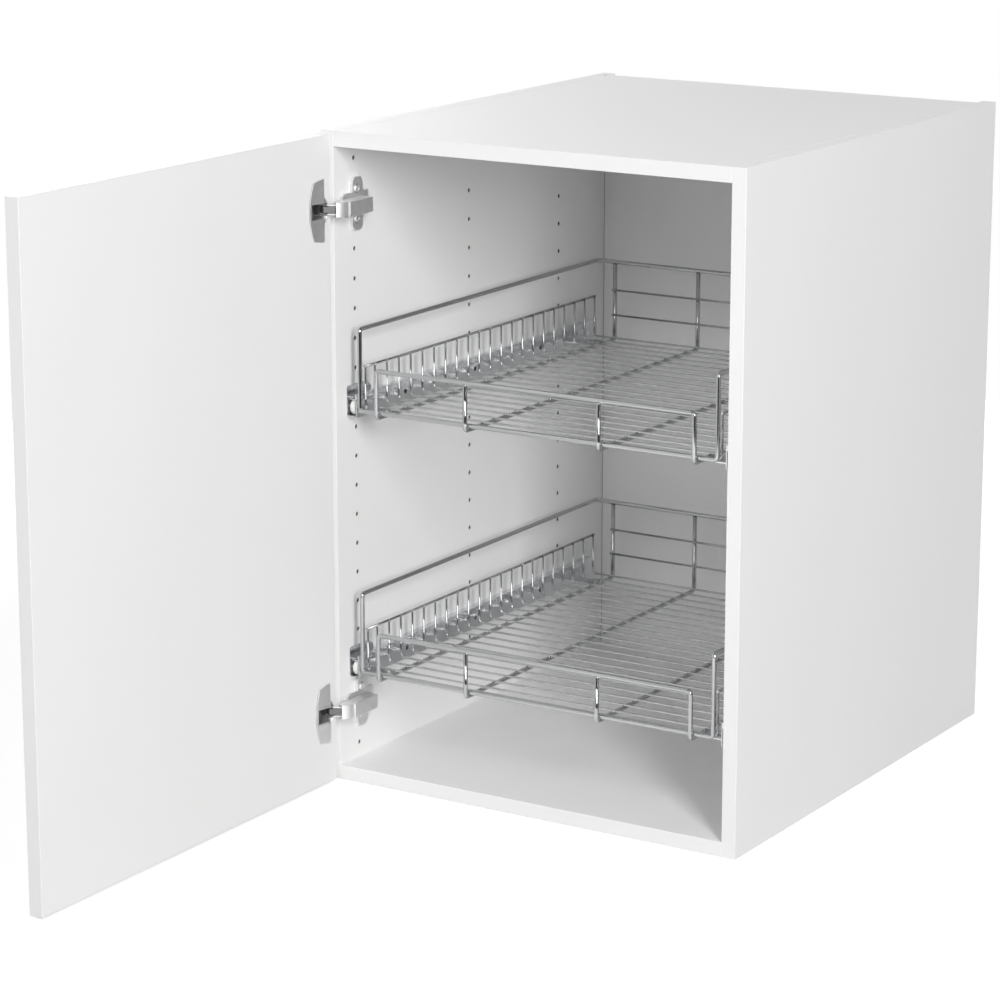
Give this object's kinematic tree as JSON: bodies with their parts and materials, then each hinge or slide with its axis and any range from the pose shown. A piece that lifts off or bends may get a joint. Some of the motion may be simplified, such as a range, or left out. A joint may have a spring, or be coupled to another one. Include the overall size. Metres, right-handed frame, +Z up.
{
  "type": "kitchen base cabinet",
  "caption": "White base cabinet with a side-hung door on concealed hinges and pull-out chromed wire baskets on roller runners.",
  "frame": {"origin": "middle of the carcass underside, halfway between the sides and between front and back", "axes": "+X to the right seen from the front, +Y from the front to the back, +Z up"},
  "size_m": [0.5, 1.084, 0.704],
  "materials": {
    "white_board": "white melamine, satin",
    "white_back": "white melamine, satin",
    "white_door": "white melamine, satin",
    "dowel_wood": "plain beech",
    "grey_plastic": "moulded",
    "roller_plastic": "moulded",
    "runner_steel": "zinc plated",
    "chrome_wire": "bright chrome",
    "hinge_steel": "nickel plated"
  },
  "bodies": {
    "carcass": {"arm_pins": "hinge_steel", "back_panel": "white_back", "bottom_panel": "white_board", "front_roller_pins": "hinge_steel", "hinge_cover_caps": "hinge_steel", "left_side_panel": "white_board", "lower_hinge_arm": "hinge_steel", "lower_left_cabinet_rail": "runner_steel", "lower_mounting_plate": "hinge_steel", "lower_right_cabinet_rail": "runner_steel", "panel_dowels": "dowel_wood", "plate_screws": "hinge_steel", "right_side_panel": "white_board", "runner_screws": "hinge_steel", "top_panel": "white_board", "upper_hinge_arm": "hinge_steel", "upper_left_cabinet_rail": "runner_steel", "upper_mounting_plate": "hinge_steel", "upper_right_cabinet_rail": "runner_steel"},
    "hinge_outer_links": {"lower_outer_links": "hinge_steel", "upper_outer_links": "hinge_steel"},
    "hinge_inner_links": {"lower_inner_link": "hinge_steel", "upper_inner_link": "hinge_steel"},
    "door": {"cup_dowels": "grey_plastic", "cup_pins": "hinge_steel", "door_panel": "white_door", "lower_hinge_cup": "hinge_steel", "upper_hinge_cup": "hinge_steel"},
    "upper_basket": {"upper_basket_brackets": "runner_steel", "upper_basket_loop": "chrome_wire", "upper_floor_wires": "chrome_wire", "upper_front_rail_wire": "chrome_wire", "upper_left_basket_rail": "runner_steel", "upper_left_fence": "chrome_wire", "upper_rear_roller_pins": "hinge_steel", "upper_rear_wires": "chrome_wire", "upper_right_basket_rail": "runner_steel", "upper_right_fence": "chrome_wire", "upper_support_wires": "chrome_wire"},
    "lower_basket": {"lower_basket_brackets": "runner_steel", "lower_basket_loop": "chrome_wire", "lower_floor_wires": "chrome_wire", "lower_front_rail_wire": "chrome_wire", "lower_left_basket_rail": "runner_steel", "lower_left_fence": "chrome_wire", "lower_rear_roller_pins": "hinge_steel", "lower_rear_wires": "chrome_wire", "lower_right_basket_rail": "runner_steel", "lower_right_fence": "chrome_wire", "lower_support_wires": "chrome_wire"},
    "upper_front_rollers": {"upper_front_rollers": "roller_plastic"},
    "lower_front_rollers": {"lower_front_rollers": "roller_plastic"},
    "upper_rear_rollers": {"upper_rear_rollers": "roller_plastic"},
    "lower_rear_rollers": {"lower_rear_rollers": "roller_plastic"},
    "upper_side_screw": {"upper_side_adjust_screw": "hinge_steel"},
    "lower_side_screw": {"lower_side_adjust_screw": "hinge_steel"},
    "upper_depth_screw": {"upper_depth_adjust_screw": "hinge_steel"},
    "lower_depth_screw": {"lower_depth_adjust_screw": "hinge_steel"}
  },
  "joints": [
    {"name": "door_swing", "type": "hinge", "parent": "carcass", "child": "door", "pos_m": [-0.24375, -0.30175, 0.352], "axis": [0, 0, -1], "range_deg": [-90, 5]},
    {"name": "hinge_outer_swing", "type": "hinge", "parent": "carcass", "child": "hinge_outer_links", "pos_m": [-0.224, -0.298, 0.352], "axis": [0, 0, -1], "range_deg": [-1.23, 18.8]},
    {"name": "hinge_inner_swing", "type": "hinge", "parent": "carcass", "child": "hinge_inner_links", "pos_m": [-0.2205, -0.2935, 0.352], "axis": [0, 0, -1], "range_deg": [-2.18, 35.91]},
    {"name": "upper_basket_slide", "type": "slide", "parent": "carcass", "child": "upper_basket", "axis": [0, -1, 0], "range_m": [0, 0.375]},
    {"name": "upper_front_roller_spin", "type": "hinge", "parent": "carcass", "child": "upper_front_rollers", "pos_m": [0, -0.262, 0.4084], "axis": [1, 0, 0], "continuous": true},
    {"name": "upper_rear_roller_spin", "type": "hinge", "parent": "upper_basket", "child": "upper_rear_rollers", "pos_m": [0, 0.21, 0.4085], "axis": [1, 0, 0], "continuous": true},
    {"name": "lower_basket_slide", "type": "slide", "parent": "carcass", "child": "lower_basket", "axis": [0, -1, 0], "range_m": [0, 0.375]},
    {"name": "lower_front_roller_spin", "type": "hinge", "parent": "carcass", "child": "lower_front_rollers", "pos_m": [0, -0.262, 0.1204], "axis": [1, 0, 0], "continuous": true},
    {"name": "lower_rear_roller_spin", "type": "hinge", "parent": "lower_basket", "child": "lower_rear_rollers", "pos_m": [0, 0.21, 0.1205], "axis": [1, 0, 0], "continuous": true},
    {"name": "upper_side_screw_turn", "type": "hinge", "parent": "carcass", "child": "upper_side_screw", "pos_m": [-0.22, -0.274, 0.624], "axis": [1, 0, 0], "range_deg": [-360, 360]},
    {"name": "upper_depth_screw_turn", "type": "hinge", "parent": "carcass", "child": "upper_depth_screw", "pos_m": [-0.22, -0.256, 0.624], "axis": [1, 0, 0], "range_deg": [-360, 360]},
    {"name": "lower_side_screw_turn", "type": "hinge", "parent": "carcass", "child": "lower_side_screw", "pos_m": [-0.22, -0.274, 0.08], "axis": [1, 0, 0], "range_deg": [-360, 360]},
    {"name": "lower_depth_screw_turn", "type": "hinge", "parent": "carcass", "child": "lower_depth_screw", "pos_m": [-0.22, -0.256, 0.08], "axis": [1, 0, 0], "range_deg": [-360, 360]}
  ],
  "couplings": [
    {"joint": "hinge_outer_swing", "follows": "door_swing", "ratio": -0.20664},
    {"joint": "hinge_inner_swing", "follows": "door_swing", "ratio": -0.39675},
    {"joint": "upper_front_roller_spin", "follows": "upper_basket_slide", "rad_per_m": 119.05},
    {"joint": "upper_rear_roller_spin", "follows": "upper_basket_slide", "rad_per_m": 119.05},
    {"joint": "lower_front_roller_spin", "follows": "lower_basket_slide", "rad_per_m": 119.05},
    {"joint": "lower_rear_roller_spin", "follows": "lower_basket_slide", "rad_per_m": 119.05}
  ]
}
